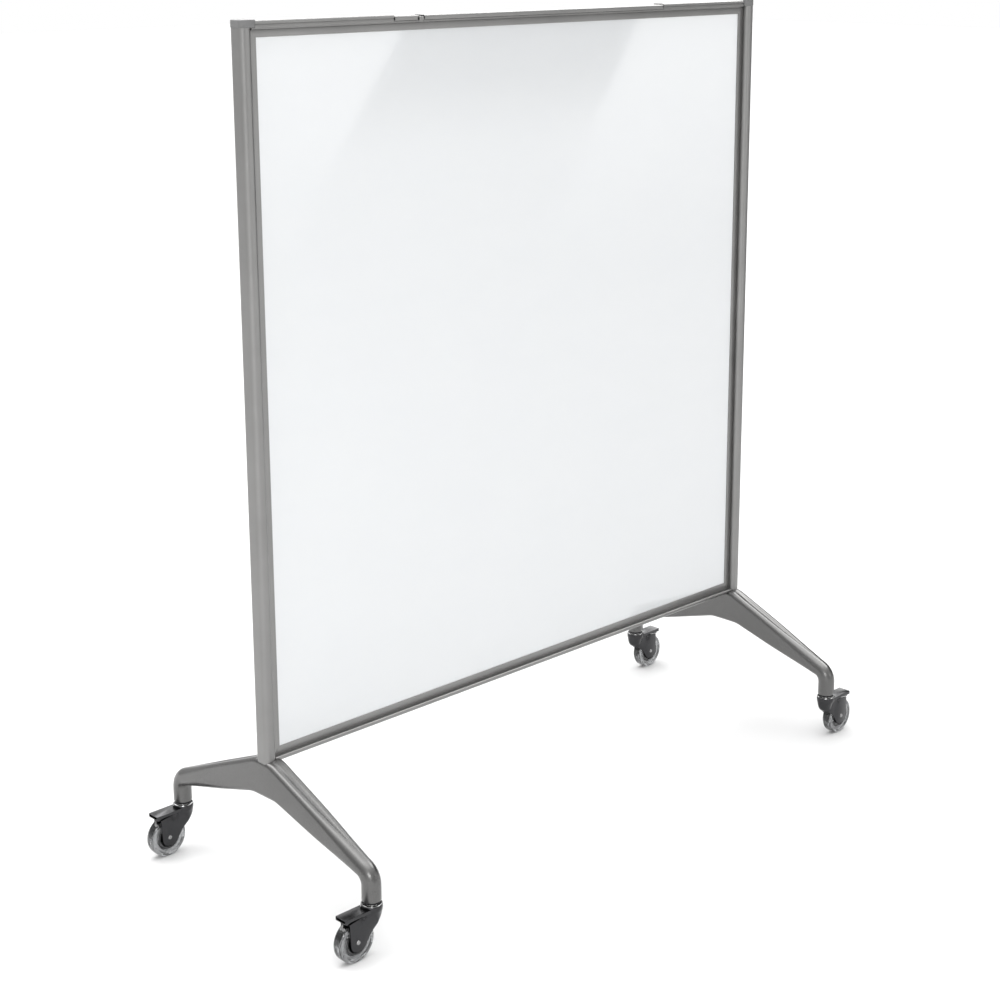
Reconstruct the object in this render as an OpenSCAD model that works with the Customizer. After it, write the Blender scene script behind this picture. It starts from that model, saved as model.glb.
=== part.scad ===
// Rolling whiteboard: a double-sided writing panel in an extruded frame, on two splayed feet
// with four braked swivel casters, and a flip-chart pad clamp let into the top rail.
// Frame: origin on the floor under the middle of the panel, +X to the right, +Y to the back,
// +Z up. Millimetres.

/* [Panel and frame] */
// Height of the whole board, floor to cap tops
overall_h = 1626; // [1600:1:1700]
// Visible width of the writing surface
view_w = 1301; // [1100:1:1500]
// Height of the visible writing surface
view_h = 1295; // [1200:1:1320]
// Thickness of the writing panel, both skins included
panel_t = 7; // [6:0.5:8]
// Thickness of one writing skin
skin_t = 0.8; // [0.5:0.1:1.2]
// Width of the flat lip that holds the panel's edge
lip_w = 13; // [11:0.5:15]
// Depth of a lip's front face from the middle plane
lip_y = 5.5; // [5.5:0.1:7]

/* [Side posts] */
// Front-to-back depth of a post and width of a foot
post_d = 36; // [32:1:40]
// Radius of a post's long corners
post_r = 10; // [8:0.5:11]
// Wall of the extrusions
wall = 2.5; // [2:0.1:3]
// Height of a post's top cap
cap_h = 13.5; // [12:0.5:16]

/* [Rails] */
// Front-to-back depth of a rail's rounded edge
rail_d = 28; // [26:1:30]
// Height of the open groove between lip and rounded edge
groove_h = 3; // [2.5:0.5:4]
// Height of the bottom rail's rounded edge
ledge_h = 9; // [8:0.5:10]

/* [Pad clamp] */
// Left end of the lever, from the middle of the board
lever_x0 = -344; // [-360:1:-330]
// Length of the lever
lever_l = 60; // [50:1:64]
// Left end of the clamp bar
bar_x0 = -272; // [-276:1:-268]
// Right end of the clamp bar
bar_x1 = 394; // [380:1:400]
// Radius of the clamp's shaft
shaft_r = 2; // [1.8:0.1:2.2]

/* [Feet] */
// Distance of a caster stem from the middle plane
stem_y = 286; // [270:1:300]
// Diameter of the leg's round end tube
tube_d = 36; // [34:1:38]
// Height of the underside of that tube
tube_z = 103; // [103:1:106]
// Height of the hub's flat top
hub_z1 = 282; // [278:1:283]
// Height of the hub's flat underside
hub_z0 = 207.5; // [204:0.5:212]
// Centreline radius of the elbow
elbow_r = 28; // [26:1:32]
// Slope of a leg's centreline, degrees below level
leg_slope = 19.9; // [19:0.1:21]
// Width of the hub across the board
hub_w = 39.6; // [39.2:0.2:42]
// Depth of a leg where it leaves the hub
leg_d = 68.5; // [66:0.5:70]

/* [Casters] */
// Wheel radius
wheel_r = 39.8; // [38:0.1:41]
// Wheel width
wheel_w = 20.5; // [19:0.5:21]
// Distance from the swivel axis to the wheel's axle
trail = 43.2; // [42:0.1:45]
// Outer width of the fork
fork_w = 27; // [27:0.5:28]
// Thickness of the fork's plates
fork_t = 2.5; // [2:0.1:3]
// Radius of the swivel head
head_r = 20; // [19:0.5:21]
// Width of the brake pedal
pedal_w = 28.8; // [28:0.2:30]
// Reach of the brake pedal from the swivel axis
pedal_reach = 72; // [68:1:76]

/* [Hidden] */
$fn = 48;
eps = 0.02;

// Frame, worked out from the panel.
groove_u = 2.6;                       // open groove between a post's round part and its lips
post_in = 6;                          // inner face of a post's round part, from the post's axis
post_x = view_w / 2 + lip_w + groove_u + post_in;
lips_u1 = post_in + groove_u + lip_w; // visible inner edge of a post's lips
view_z1 = overall_h - 30.6;           // top edge of the visible surface
view_z0 = view_z1 - view_h;           // bottom edge of the visible surface
seat = 10;                            // how far the panel's edge goes into the channels
slot_y = panel_t / 2 + 0.1;           // half width of a channel's slot
neck_y = 4.2;                         // half thickness of the web behind a groove
cap_z0 = overall_h - cap_h;
cap_over = 0.8;                       // how far a cap stands proud of its post
cap_in = 14;                          // inner face of a cap, from the post's axis
rail_top_z = overall_h - 1.9;
bead_z0 = view_z1 + lip_w + groove_h; // underside of the top rail's rounded edge
ledge_z1 = view_z0 - lip_w - groove_h;
key_zs = [bead_z0 + 3, ledge_z1 - ledge_h + 3];
post_z0 = hub_z1 - 8;                 // posts stand 8 mm deep in the hubs
boss_r = 7;                           // screw boss in the middle of a post
foot_bolt_r = 4.2;
leg_z0 = hub_z1 - 27.5;               // height of the legs' centrelines in the middle plane

// Pad clamp.
pocket_z = overall_h - 13.4;          // floor of the clamp's pocket in the top rail
pocket_x0 = lever_x0 - 0.6;
pocket_x1 = bar_x1 + 0.6;
clamp_top = rail_top_z - 2.1;
shaft_y = 8;
shaft_z = pocket_z + 4.6;
shaft_over = 12;                      // how far the shaft goes into the rail at each end
clamp_gap = 8;                        // slanted gap between lever and bar

// Caster heights.
axle_r = 4;
head_z0 = 86;
head_z1 = 97;
stem_r = 5;
ring_r = 15;
pedal_z0 = 86;
pedal_z1 = 92;
pin_x = 30;
pin_z = 81.3;
pin_r = 2;
brake_turn = 8;                       // travel of a brake pedal, degrees
run_fit = 0.05;                       // radial clearance of a running fit

CORNERS = [["front_left", -1, -1], ["front_right", 1, -1],
           ["rear_left", -1, 1], ["rear_right", 1, 1]];
CASTER_PARTS = ["fork", "axle", "tyre", "wheel_hub", "wheel_bearings", "brake_pedal",
                "pedal_pin"];

// ---- Helpers ----

// A child drawn for the right side, put on side s (-1 left, 1 right).
module side(s) { mirror([s < 0 ? 1 : 0, 0, 0]) children(); }

// Rounded rectangle from x0 to x1 and half height h, with radius ra at x0 and rb at x1.
module rounded(x0, x1, h, ra, rb) {
    translate([x0 + ra, -h]) square([x1 - x0 - ra - rb, 2 * h]);
    translate([x0, ra - h]) square([ra + eps, 2 * (h - ra)]);
    translate([x1 - rb - eps, rb - h]) square([rb + eps, 2 * (h - rb)]);
    for (s = [-1, 1]) {
        translate([x0 + ra, s * (h - ra)]) circle(ra);
        translate([x1 - rb, s * (h - rb)]) circle(rb);
    }
}

// A 2D shape drawn in (depth, height), run along X from x0 to x1.
module along_x(x0, x1) {
    translate([x0, 0, 0]) rotate([90, 0, 90]) linear_extrude(x1 - x0) children();
}

// A 2D shape drawn in (x, height), run along Y from y0 to y1.
module along_y(y0, y1) {
    translate([0, y1, 0]) rotate([90, 0, 0]) linear_extrude(y1 - y0) children();
}

// A cylinder of radius r along Y from y0 to y1, at (x, z).
module rod_y(x, z, r, y0, y1) { translate([x, y1, z]) rotate([90, 0, 0]) cylinder(r = r, h = y1 - y0); }

// A child drawn at the right front caster's place, put at corner c.
module at_corner(c) {
    translate([c[1] * post_x, c[2] * stem_y, 0]) side(c[1]) children();
}

// ---- Frame ----

// Plan of a post's round part: u runs from the outer side (-) to the panel (+).
module post_round() { rounded(-post_d / 2, post_in, post_d / 2, post_r, post_r); }

module post_hollow() {
    difference() {
        rounded(-post_d / 2 + wall, post_in - wall, post_d / 2 - wall,
                post_r - wall, post_r - wall);
        translate([-6, 0]) circle(boss_r);
        translate([-post_d / 2, -wall / 2]) square([post_d, wall]);
    }
}

module post(s) {
    color("silver") side(s) translate([post_x, 0, 0]) mirror([1, 0, 0]) difference() {
        union() {
            translate([0, 0, post_z0]) linear_extrude(cap_z0 - post_z0) difference() {
                post_round();
                post_hollow();
                translate([-6, 0]) circle(foot_bolt_r);
            }
            // Glazing channel between the two rails.
            translate([0, 0, view_z0]) linear_extrude(view_h) difference() {
                union() {
                    translate([post_in - wall, -neck_y]) square([groove_u + wall + 1, 2 * neck_y]);
                    translate([post_in + groove_u, -lip_y]) square([lip_w, 2 * lip_y]);
                }
                translate([lips_u1 - seat - 1, -slot_y]) square([seat + 2, 2 * slot_y]);
            }
        }
        // Slots for the corner keys.
        for (z = key_zs)
            translate([1.4, -8.1, z - 0.1]) cube([post_in, 16.2, 3.2]);
    }
}

module cap(s) {
    color("gray") side(s) translate([post_x, 0, 0]) mirror([1, 0, 0]) {
        difference() {
            translate([0, 0, cap_z0]) linear_extrude(cap_h)
                rounded(-post_d / 2 - cap_over, cap_in, post_d / 2 + cap_over,
                        post_r + cap_over, 6);
            // Slot for the corner key under the cap.
            translate([post_in - 10, -8.1, key_zs[0] - 0.1]) cube([20, 16.2, 3.2]);
        }
        // Plug that holds the cap in the post's screw boss.
        translate([-6, 0, cap_z0 - 14]) cylinder(r = foot_bolt_r - 0.02, h = 14.5);
    }
}

// Lip and neck of a rail: w runs away from the panel.
module rail_lips() {
    difference() {
        union() {
            translate([-lip_y, 0]) square([2 * lip_y, lip_w]);
            translate([-neck_y, lip_w - 0.5]) square([2 * neck_y, groove_h + 1]);
        }
        translate([-slot_y, -1]) square([2 * slot_y, seat + 1.5]);
    }
}

// Rounded edge of a rail, h high from w, with a fine line along each face.
module rail_edge(w, h, line) {
    difference() {
        rotate([0, 0, 90]) rounded(w, w + h, rail_d / 2, 2.4, 2.4);
        if (line) for (s = [-1, 1])
            translate([s * rail_d / 2, w + h / 2]) rotate([0, 0, 45]) square(1, center = true);
        translate([-8.1, w + 2.9]) square([16.2, 3.2]);
    }
}

module top_rail() {
    half = post_x - post_in;
    edge_half = post_x - cap_in;
    h = rail_top_z - bead_z0;
    color("silver") difference() {
        union() {
            along_x(-half, half) translate([0, view_z1]) rail_lips();
            along_x(-edge_half, edge_half) rail_edge(bead_z0, h, true);
        }
        // Pocket for the pad clamp, and the bore its shaft turns in.
        translate([pocket_x0, -rail_d, pocket_z])
            cube([pocket_x1 - pocket_x0, 2 * rail_d, 30]);
        translate([pocket_x0 - shaft_over - 0.5, shaft_y, shaft_z]) rotate([0, 90, 0])
            cylinder(r = shaft_r + run_fit, h = pocket_x1 - pocket_x0 + 2 * shaft_over + 1);
    }
}

module bottom_rail() {
    half = post_x - post_in;
    color("silver") {
        along_x(-half, half) translate([0, view_z0]) mirror([0, 1]) rail_lips();
        along_x(-half, half) rail_edge(ledge_z1 - ledge_h, ledge_h, false);
    }
}

module panel_block(y0, y1) {
    w = view_w + 2 * seat;
    translate([-w / 2, y0, view_z0 - seat]) cube([w, y1 - y0, view_h + 2 * seat]);
}
module panel_core() { color("wheat") panel_block(skin_t - panel_t / 2, panel_t / 2 - skin_t); }
module front_skin() { color("white") panel_block(-panel_t / 2, skin_t - panel_t / 2); }
module rear_skin() { color("white") panel_block(panel_t / 2 - skin_t, panel_t / 2); }

// Flat steel keys that join each rail end to its post.
module corner_keys() {
    color("dimgray") for (s = [-1, 1]) for (z = key_zs)
        side(s) translate([post_x - 60, -8, z]) cube([58.5, 16, 3]);
}

// ---- Feet ----

elbow_turn = 90 - leg_slope;
elbow_z = leg_z0 - (stem_y - elbow_r + elbow_r * cos(elbow_turn)) * tan(leg_slope)
          - elbow_r * sin(elbow_turn);
leg_end_y = stem_y - elbow_r + elbow_r * cos(elbow_turn);
leg_end_z = elbow_z + elbow_r * sin(elbow_turn);

// A thin slice across a leg whose centre is at height z over y.
module leg_slice(y, z) {
    translate([0, y, z]) rotate([90 + leg_slope, 0, 0]) linear_extrude(0.2, center = true)
        children();
}

// One leg towards -Y: tapered arm, elbow and round end tube.
module leg() {
    over = 12;
    hull() {
        leg_slice(over, leg_z0 + over * tan(leg_slope))
            rounded(-hub_w / 2, hub_w / 2, leg_d / 2, 9, 9, $fn = 32);
        leg_slice(-leg_end_y, leg_end_z) circle(tube_d / 2 - 0.3, $fn = 48);
    }
    translate([0, elbow_r - stem_y, elbow_z]) rotate([90, 0, -90])
        rotate_extrude(angle = elbow_turn) translate([elbow_r, 0]) circle(tube_d / 2 - 0.15);
    translate([0, -stem_y, tube_z]) cylinder(r = tube_d / 2, h = elbow_z - tube_z + 1.5);
}

module foot(s) {
    color("darkgray") side(s) translate([post_x, 0, 0]) mirror([1, 0, 0]) difference() {
        union() {
            leg();
            mirror([0, 1, 0]) leg();
            translate([0, 0, hub_z0]) linear_extrude(40)
                rounded(0.4 - hub_w / 2, hub_w / 2 - 0.4, 29, 8, 8);
        }
        // Flat top, pocket for the post, notch for the end of the bottom rail.
        translate([-40, -40, hub_z1]) cube([80, 80, 40]);
        translate([0, 0, post_z0]) linear_extrude(30) post_round();
        translate([post_in - 0.5, -rail_d / 2 - 0.6, ledge_z1 - ledge_h - 0.4])
            cube([30, rail_d + 1.2, 30]);
        // Bolt hole from below, with a counterbore for the head.
        translate([-6, 0, hub_z0 - 1]) cylinder(r = 5.2, h = 90);
        translate([-6, 0, hub_z0 - 1]) cylinder(r = 9, h = 13);
        // Sockets for the caster stems.
        for (y = [-1, 1]) translate([0, y * stem_y, tube_z - 1]) cylinder(r = stem_r + 3, h = 27);
    }
}

// One socket-head bolt up through each hub into the post's screw boss.
module foot_bolts() {
    color("dimgray") for (s = [-1, 1]) side(s) translate([post_x + 6, 0, hub_z0 + 4]) difference() {
        union() {
            cylinder(r = 8, h = 8);
            cylinder(r = foot_bolt_r - 0.02, h = post_z0 - hub_z0 + 30);
        }
        translate([0, 0, -1]) cylinder(r = 4, h = 6, $fn = 6);
    }
}

// ---- Fixed half of the casters: sleeve and stem, seal, ball race ----

module caster_stems() {
    color("gray") for (c = CORNERS) at_corner(c) {
        translate([0, 0, tube_z]) cylinder(r = stem_r + 3, h = 26);
        translate([0, 0, 83]) cylinder(r = stem_r, h = tube_z - 83);
        translate([0, 0, 82.6]) cylinder(r = 8, h = 2.8);
    }
}

module swivel_seals() {
    color("black") for (c = CORNERS) at_corner(c) difference() {
        union() {
            translate([0, 0, head_z1 + 0.4]) cylinder(r = ring_r, h = 2.4);
            translate([0, 0, head_z1 + 2.8]) cylinder(r = ring_r - 1.6, h = 1.2);
            translate([0, 0, head_z1 + 4]) cylinder(r = ring_r, h = tube_z - head_z1 - 4);
        }
        translate([0, 0, head_z1]) cylinder(r = stem_r, h = 10);
    }
}

// Ball ring and its cage, in the recess of each head.
module swivel_bearings() {
    color("lightgray") for (c = CORNERS) at_corner(c) translate([0, 0, head_z1 - 1.6])
        rotate_extrude() {
            translate([11, 0]) circle(1.9);
            translate([stem_r, -0.5]) square([7, 1]);
        }
}

// ---- Turning half of a caster, drawn with its wheel towards +X ----

// Side view of a fork plate.
module fork_outline() {
    polygon([[-9, head_z0 + 4], [-9, 74], [-1, 59], [8, 50], [27, 36], [40, 24], [57, 44],
             [61, 60], [61, 81.2], [pin_x, 85.6], [14, 85.6], [14, head_z0 + 4]]);
    translate([trail, wheel_r]) circle(16);
}

// Closed leading side of the fork, from the head down towards the wheel.
module apron(inset) {
    hull() {
        translate([0, 0, 85]) cylinder(r = head_r - inset, h = 7, $fn = 32);
        for (y = [-1, 1]) translate([-12 + inset, y * (fork_w / 2 - 4), 66])
            cylinder(r = 4 - inset / 2, h = 1, $fn = 32);
        for (y = [-1, 1]) translate([1 + inset, y * (fork_w / 2 - 2), 50 + inset])
            cylinder(r = 2 - inset / 2, h = 1, $fn = 32);
    }
}

module fork() {
    half = fork_w / 2;
    inner = half - fork_t;
    color("dimgray") difference() {
        union() {
            translate([0, 0, head_z0]) cylinder(r = head_r, h = head_z1 - head_z0);
            for (y = [-half, inner]) along_y(y, y + fork_t) fork_outline();
            difference() {
                apron(0);
                apron(fork_t);
                translate([4, -30, 0]) cube([60, 60, head_z0]);
                rod_y(trail, wheel_r, wheel_r + 2.5, -inner, inner);
            }
        }
        // Dish and bearing recess in the head's top, bore on the stem, room for its flange.
        translate([0, 0, head_z1 - 2]) cylinder(r1 = ring_r + 0.6, r2 = head_r - 1, h = 2);
        translate([0, 0, head_z1 - 3.8]) cylinder(r = 14, h = 5);
        translate([0, 0, head_z0 - 10]) cylinder(r = stem_r + run_fit, h = 30);
        translate([0, 0, 70]) cylinder(r = 9, h = head_z0 - 70);
        // Holes for the axle and the pedal's pin.
        rod_y(trail, wheel_r, axle_r, -half - 1, half + 1);
        rod_y(pin_x, pin_z, pin_r, -half - 1, half + 1);
    }
}

// Axle bolt with a low domed head on each end.
module axle() {
    half = fork_w / 2;
    color("lightgray") {
        rod_y(trail, wheel_r, axle_r, -half, half);
        for (s = [0, 1]) mirror([0, s, 0]) translate([trail, -half, wheel_r]) rotate([90, 0, 0])
            rotate_extrude() intersection() {
                translate([0, 2 - 9.5]) circle(9.5);
                square([5.6, 2]);
            }
    }
}

module tyre() {
    r = 4;
    half = wheel_w / 2;
    color("lightcyan", 0.5) translate([trail, 0, wheel_r]) rotate([90, 0, 0])
        rotate_extrude() difference() {
            union() {
                translate([24, -half]) square([wheel_r - r - 24, wheel_w]);
                translate([24, r - half]) square([wheel_r - 24, wheel_w - 2 * r]);
                for (s = [-1, 1]) translate([wheel_r - r, s * (half - r)]) circle(r);
            }
            translate([23, -5]) square([4, 10]);
        }
}

// Spoked-looking core: rim band, web and hub.
module wheel_hub() {
    half = wheel_w / 2;
    color("gray") translate([trail, 0, wheel_r]) rotate([90, 0, 0])
        rotate_extrude() difference() {
            union() {
                translate([axle_r + 1, -half]) square([8, wheel_w]);
                translate([axle_r + 6, -2]) square([14, 4]);
                translate([20, -half]) square([4, wheel_w]);
                translate([22, -5]) square([5, 10]);
            }
            for (s = [-1, 1]) translate([0, s * (half - 2) - 2.5]) square([9.5, 5]);
        }
}

module wheel_bearings() {
    half = wheel_w / 2;
    color("silver") for (s = [0, 1]) mirror([0, s, 0])
        translate([trail, -half + 0.2, wheel_r]) rotate([-90, 0, 0]) difference() {
            cylinder(r = 9.5, h = 4.2);
            translate([0, 0, -1]) cylinder(r = axle_r + run_fit, h = 8);
        }
}

// Pedal plate over the wheel, with ears on the pin and a brake shoe over the tread.
module brake_pedal() {
    inner = fork_w / 2 - fork_t - 0.4;
    color("#222") difference() {
        union() {
            translate([8, -pedal_w / 2, pedal_z0]) cube([pedal_reach - 8, pedal_w, pedal_z1 - pedal_z0]);
            along_y(-inner, inner)
                polygon([[25, pedal_z0 + 1], [25, 80.2], [28, 78.2], [34, 78.6], [48, 81],
                         [66, 76], [68, 79], [67, pedal_z0 + 1]]);
        }
        translate([0, 0, 60]) cylinder(r = head_r + 0.5, h = 50);
        // The tread's place when the pedal is down.
        translate([pin_x, 0, pin_z]) rotate([0, -brake_turn, 0]) translate([-pin_x, 0, -pin_z])
            rod_y(trail, wheel_r, wheel_r + 0.5, -20, 20);
        rod_y(pin_x, pin_z, pin_r + run_fit, -20, 20);
    }
}

module pedal_pin() {
    half = fork_w / 2;
    color("lightgray") rod_y(pin_x, pin_z, pin_r, -half - 0.3, half + 0.3);
}

// ---- Pad clamp ----

// Side view of the bar: a flat back on the shaft and a rounded grip at the front.
module clamp_outline() {
    front = rail_d / 2;
    translate([3 - front, clamp_top - 3]) circle(3);
    translate([-front, pocket_z + 0.4]) square([6, clamp_top - pocket_z - 3.4]);
    translate([3 - front, clamp_top - 4]) square([2 * front - 6, 4]);
    translate([front - 3, clamp_top - 3]) circle(3);
    translate([shaft_y, shaft_z]) circle(4);
    translate([shaft_y - 4, shaft_z]) square([8, clamp_top - shaft_z]);
}

module clamp_bore(x0, x1) {
    translate([x0 - 1, shaft_y, shaft_z]) rotate([0, 90, 0]) cylinder(r = shaft_r, h = x1 - x0 + 2);
}

module clamp_bar() {
    color("silver") difference() {
        along_x(bar_x0, bar_x1) clamp_outline();
        clamp_bore(bar_x0, bar_x1);
        // Seat of the grip strip.
        translate([bar_x0 + 6, 1.5 - rail_d / 2, pocket_z - 1]) cube([bar_x1 - bar_x0 - 12, 3, 3.4]);
    }
}

// Short lever with a slanted end next to the bar.
module clamp_lever() {
    color("silver") difference() {
        along_x(lever_x0, lever_x0 + lever_l) clamp_outline();
        clamp_bore(lever_x0, lever_x0 + lever_l);
        translate([lever_x0 + lever_l - 6, -rail_d, pocket_z]) rotate([0, 32, 0])
            translate([0, 0, -10]) cube([20, 2 * rail_d, 40]);
    }
}

module clamp_shaft() {
    color("gray") translate([pocket_x0 - shaft_over, shaft_y, shaft_z]) rotate([0, 90, 0])
        cylinder(r = shaft_r, h = pocket_x1 - pocket_x0 + 2 * shaft_over);
}

module clamp_grip() {
    color("black") translate([bar_x0 + 6, 1.5 - rail_d / 2, pocket_z + 0.2])
        cube([bar_x1 - bar_x0 - 12, 3, 2.2]);
}

// ---- Drawing ----

foot(-1);  // left_foot
foot(1);  // right_foot
post(-1);  // left_post
post(1);  // right_post
cap(-1);  // left_cap
cap(1);  // right_cap
top_rail();
bottom_rail();
panel_core();
front_skin();
rear_skin();
corner_keys();
foot_bolts();
caster_stems();
swivel_seals();
swivel_bearings();
clamp_bar();
clamp_lever();
clamp_shaft();
clamp_grip();
for (c = CORNERS) {
    at_corner(c) fork();
    at_corner(c) axle();
    at_corner(c) tyre();
    at_corner(c) wheel_hub();
    at_corner(c) wheel_bearings();
    at_corner(c) brake_pedal();
    at_corner(c) pedal_pin();
}
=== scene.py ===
"""The looks of a rolling whiteboard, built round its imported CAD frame."""
import math

import bmesh
import bpy
from mathutils import Matrix, Vector


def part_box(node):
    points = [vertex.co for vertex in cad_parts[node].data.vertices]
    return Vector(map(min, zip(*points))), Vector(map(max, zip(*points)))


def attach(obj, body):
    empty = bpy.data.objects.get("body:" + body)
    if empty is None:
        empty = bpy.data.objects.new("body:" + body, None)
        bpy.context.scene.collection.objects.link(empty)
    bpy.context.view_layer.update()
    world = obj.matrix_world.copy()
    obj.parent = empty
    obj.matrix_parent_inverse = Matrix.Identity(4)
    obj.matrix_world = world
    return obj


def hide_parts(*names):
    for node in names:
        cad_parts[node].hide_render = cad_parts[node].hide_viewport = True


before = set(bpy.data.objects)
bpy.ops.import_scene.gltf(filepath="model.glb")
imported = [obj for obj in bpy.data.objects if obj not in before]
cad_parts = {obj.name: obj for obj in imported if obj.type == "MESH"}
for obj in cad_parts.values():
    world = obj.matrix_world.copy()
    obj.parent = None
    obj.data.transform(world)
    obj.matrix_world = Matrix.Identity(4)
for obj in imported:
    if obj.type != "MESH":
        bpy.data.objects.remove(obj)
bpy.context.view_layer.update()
MM = 0.001
TAU = 2 * math.pi

# ---- Sizes, in millimetres, read from the frame where it has them ----


def node_box(node):
    """Lowest and highest corner of a CAD node, in millimetres."""
    low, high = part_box(node)
    return [c / MM for c in low], [c / MM for c in high]


post_low, post_high = node_box("right_post")
cap_low, cap_high = node_box("right_cap")
skin_low, skin_high = node_box("front_skin")
rail_low, rail_high = node_box("top_rail")
ledge_low, ledge_high = node_box("bottom_rail")
foot_low, foot_high = node_box("right_foot")
bar_low, bar_high = node_box("clamp_bar")
lever_low, lever_high = node_box("clamp_lever")

POST_D = post_high[1] - post_low[1]
POST_X = post_high[0] - POST_D / 2
POST_IN = 6.0
POST_R = 10.0
SEAT = 10.0
LIP_W = 13.0
LIP_Y = 5.5
NECK_Y = 4.2
SLOT_Y = 3.6
GROOVE_U = 2.6
VIEW_X = skin_high[0] - SEAT
VIEW_Z0 = skin_low[2] + SEAT
VIEW_Z1 = skin_high[2] - SEAT
GROOVE_H = 3.0
RAIL_D = 28.0
CAP_IN = 14.0
TOP_Z = cap_high[2]
CAP_H = 13.5
CAP_Z0 = TOP_Z - CAP_H
RAIL_TOP = rail_high[2]
BEAD_Z0 = VIEW_Z1 + LIP_W + GROOVE_H
LEDGE_Z1 = VIEW_Z0 - LIP_W - GROOVE_H
LEDGE_Z0 = ledge_low[2]
HUB_Z1 = foot_high[2]
HUB_H = 74.5
HUB_Z0 = HUB_Z1 - HUB_H
POST_Z0 = post_low[2]
TUBE_R = 18.0
STEM_Y = foot_high[1] - TUBE_R
TUBE_Z = foot_low[2]

CORNERS = [("front_left", -1, -1), ("front_right", 1, -1),
           ("rear_left", -1, 1), ("rear_right", 1, 1)]

# ---- Materials ----


def new_material(name, **values):
    """A principled material with its plain values set on the shader's own sockets."""
    mat = bpy.data.materials.new(name)
    mat.use_nodes = True
    shader = mat.node_tree.nodes["Principled BSDF"]
    for key, value in values.items():
        shader.inputs[key.replace("_", " ")].default_value = value
    return mat, mat.node_tree, shader


def noise(tree, scale, stretch=(1, 1, 1), detail=3.0, roughness=0.5):
    """A noise texture in object coordinates, stretched along an axis."""
    coord = tree.nodes.new("ShaderNodeTexCoord")
    mapping = tree.nodes.new("ShaderNodeMapping")
    mapping.inputs["Scale"].default_value = stretch
    tex = tree.nodes.new("ShaderNodeTexNoise")
    tex.inputs["Scale"].default_value = scale
    tex.inputs["Detail"].default_value = detail
    tex.inputs["Roughness"].default_value = roughness
    tree.links.new(coord.outputs["Object"], mapping.inputs["Vector"])
    tree.links.new(mapping.outputs["Vector"], tex.inputs["Vector"])
    return tex.outputs["Fac"]


def ramp(tree, source, stops):
    """A colour ramp with the given (position, value or colour) stops."""
    node = tree.nodes.new("ShaderNodeValToRGB")
    elements = node.color_ramp.elements
    while len(elements) < len(stops):
        elements.new(0.5)
    for element, (position, value) in zip(elements, stops):
        element.position = position
        element.color = (*value, 1) if isinstance(value, tuple) else (value, value, value, 1)
    tree.links.new(source, node.inputs["Fac"])
    return node.outputs["Color"]


def bump(tree, shader, source, strength, distance):
    node = tree.nodes.new("ShaderNodeBump")
    node.inputs["Strength"].default_value = strength
    node.inputs["Distance"].default_value = distance
    tree.links.new(source, node.inputs["Height"])
    tree.links.new(node.outputs["Normal"], shader.inputs["Normal"])


def satin_metal(name, colour, rough, stretch, metallic=0.9):
    """Satin anodised metal with fine drawing lines along one axis."""
    mat, tree, shader = new_material(name, Metallic=metallic)
    lines = noise(tree, 900, stretch, 2.0)
    cloud = noise(tree, 9, detail=4.0)
    dark = tuple(c * 0.94 for c in colour)
    light = tuple(min(1, c * 1.05) for c in colour)
    tree.links.new(ramp(tree, cloud, [(0.3, dark), (0.7, light)]), shader.inputs["Base Color"])
    tree.links.new(ramp(tree, lines, [(0.35, rough - 0.02), (0.65, rough + 0.02)]),
                   shader.inputs["Roughness"])
    bump(tree, shader, lines, 0.05, 0.0001)
    return mat


SILVER = (0.255, 0.253, 0.249)
silver_z = satin_metal("silver_upright", SILVER, 0.40, (1, 1, 0.01))
silver_x = satin_metal("silver_rail", SILVER, 0.38, (0.01, 1, 1))


def cast_paint():
    mat, tree, shader = new_material("cast_grey", Metallic=0.85, Coat_Weight=0.25,
                                     Coat_Roughness=0.25)
    peel = noise(tree, 700, detail=2.0)
    cloud = noise(tree, 12, detail=4.0)
    tree.links.new(ramp(tree, cloud, [(0.3, (0.122, 0.121, 0.119)), (0.7, (0.134, 0.133, 0.131))]),
                   shader.inputs["Base Color"])
    tree.links.new(ramp(tree, peel, [(0.3, 0.26), (0.7, 0.33)]), shader.inputs["Roughness"])
    bump(tree, shader, peel, 0.12, 0.0002)
    return mat


def moulded(name, colour, rough, grain=1400, depth=0.0001, coat=0.0):
    """Moulded plastic or rubber with a fine skin."""
    mat, tree, shader = new_material(name, Coat_Weight=coat, Coat_Roughness=0.12)
    skin = noise(tree, grain, detail=2.0)
    cloud = noise(tree, 30, detail=3.0)
    low = tuple(c * 0.88 for c in colour)
    high = tuple(c * 1.12 for c in colour)
    tree.links.new(ramp(tree, cloud, [(0.3, low), (0.7, high)]), shader.inputs["Base Color"])
    tree.links.new(ramp(tree, skin, [(0.3, rough - 0.04), (0.7, rough + 0.06)]),
                   shader.inputs["Roughness"])
    bump(tree, shader, skin, 0.15, depth)
    return mat


def plated(name, colour, rough, metallic=1.0, mottle=0.12):
    """Plated steel with faint cloudy wear."""
    mat, tree, shader = new_material(name, Metallic=metallic)
    wear = noise(tree, 160, detail=5.0)
    low = tuple(c * (1 - mottle) for c in colour)
    high = tuple(min(1, c * (1 + mottle)) for c in colour)
    tree.links.new(ramp(tree, wear, [(0.35, low), (0.65, high)]), shader.inputs["Base Color"])
    tree.links.new(ramp(tree, wear, [(0.3, rough * (1 - mottle)), (0.7, rough * (1 + mottle))]),
                   shader.inputs["Roughness"])
    bump(tree, shader, wear, 0.05, 0.0001)
    return mat


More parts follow.
